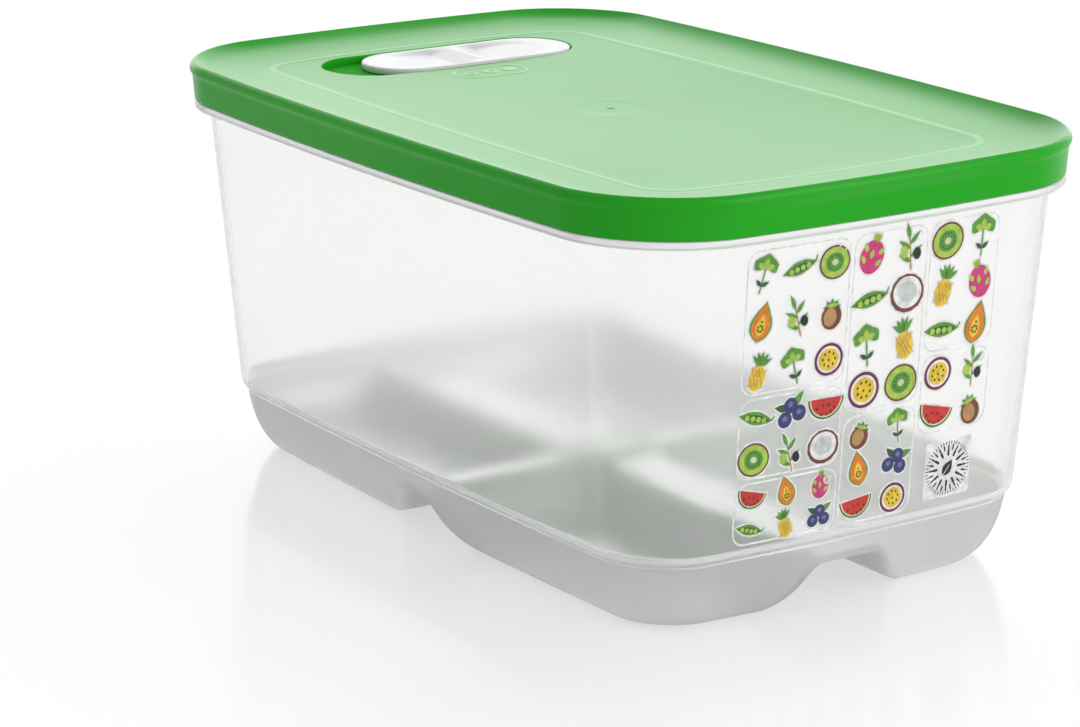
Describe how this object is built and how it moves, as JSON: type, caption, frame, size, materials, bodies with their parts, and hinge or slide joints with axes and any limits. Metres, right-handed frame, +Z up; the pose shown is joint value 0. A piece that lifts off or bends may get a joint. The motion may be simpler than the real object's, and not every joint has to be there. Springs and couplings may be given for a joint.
{
  "type": "produce keeper container",
  "caption": "Rectangular clear food keeper with a frosted footed base, a soft green press-on lid and a sliding vent.",
  "frame": {"origin": "on the surface the feet stand on, under the middle of the tub", "axes": "+X along the long side, away from the vent end; +Y along the short side; +Z up"},
  "size_m": [0.289, 0.1836, 0.1334],
  "materials": {
    "tub_clear_plastic": "clear gloss polypropylene",
    "tub_frosted_plastic": "frosted translucent polypropylene, same moulding as the clear wall",
    "lid_green_plastic": "soft satin polyethylene",
    "slider_white_plastic": "smooth white moulding",
    "seal_soft_plastic": "soft matt elastomer",
    "side_print": "screen-printed inks"
  },
  "bodies": {
    "tub": {"container_tub": "tub_clear_plastic"},
    "lid": {"lid": "lid_green_plastic"},
    "vent": {"vent_slider": "slider_white_plastic", "vent_seal_pad": "seal_soft_plastic"}
  },
  "joints": [
    {"name": "lid_lift", "type": "slide", "parent": "tub", "child": "lid", "axis": [0, 0, 1], "range_m": [0, 0.05]},
    {"name": "vent_slide", "type": "slide", "parent": "lid", "child": "vent", "axis": [0, -1, 0], "range_m": [0, 0.0148]}
  ]
}
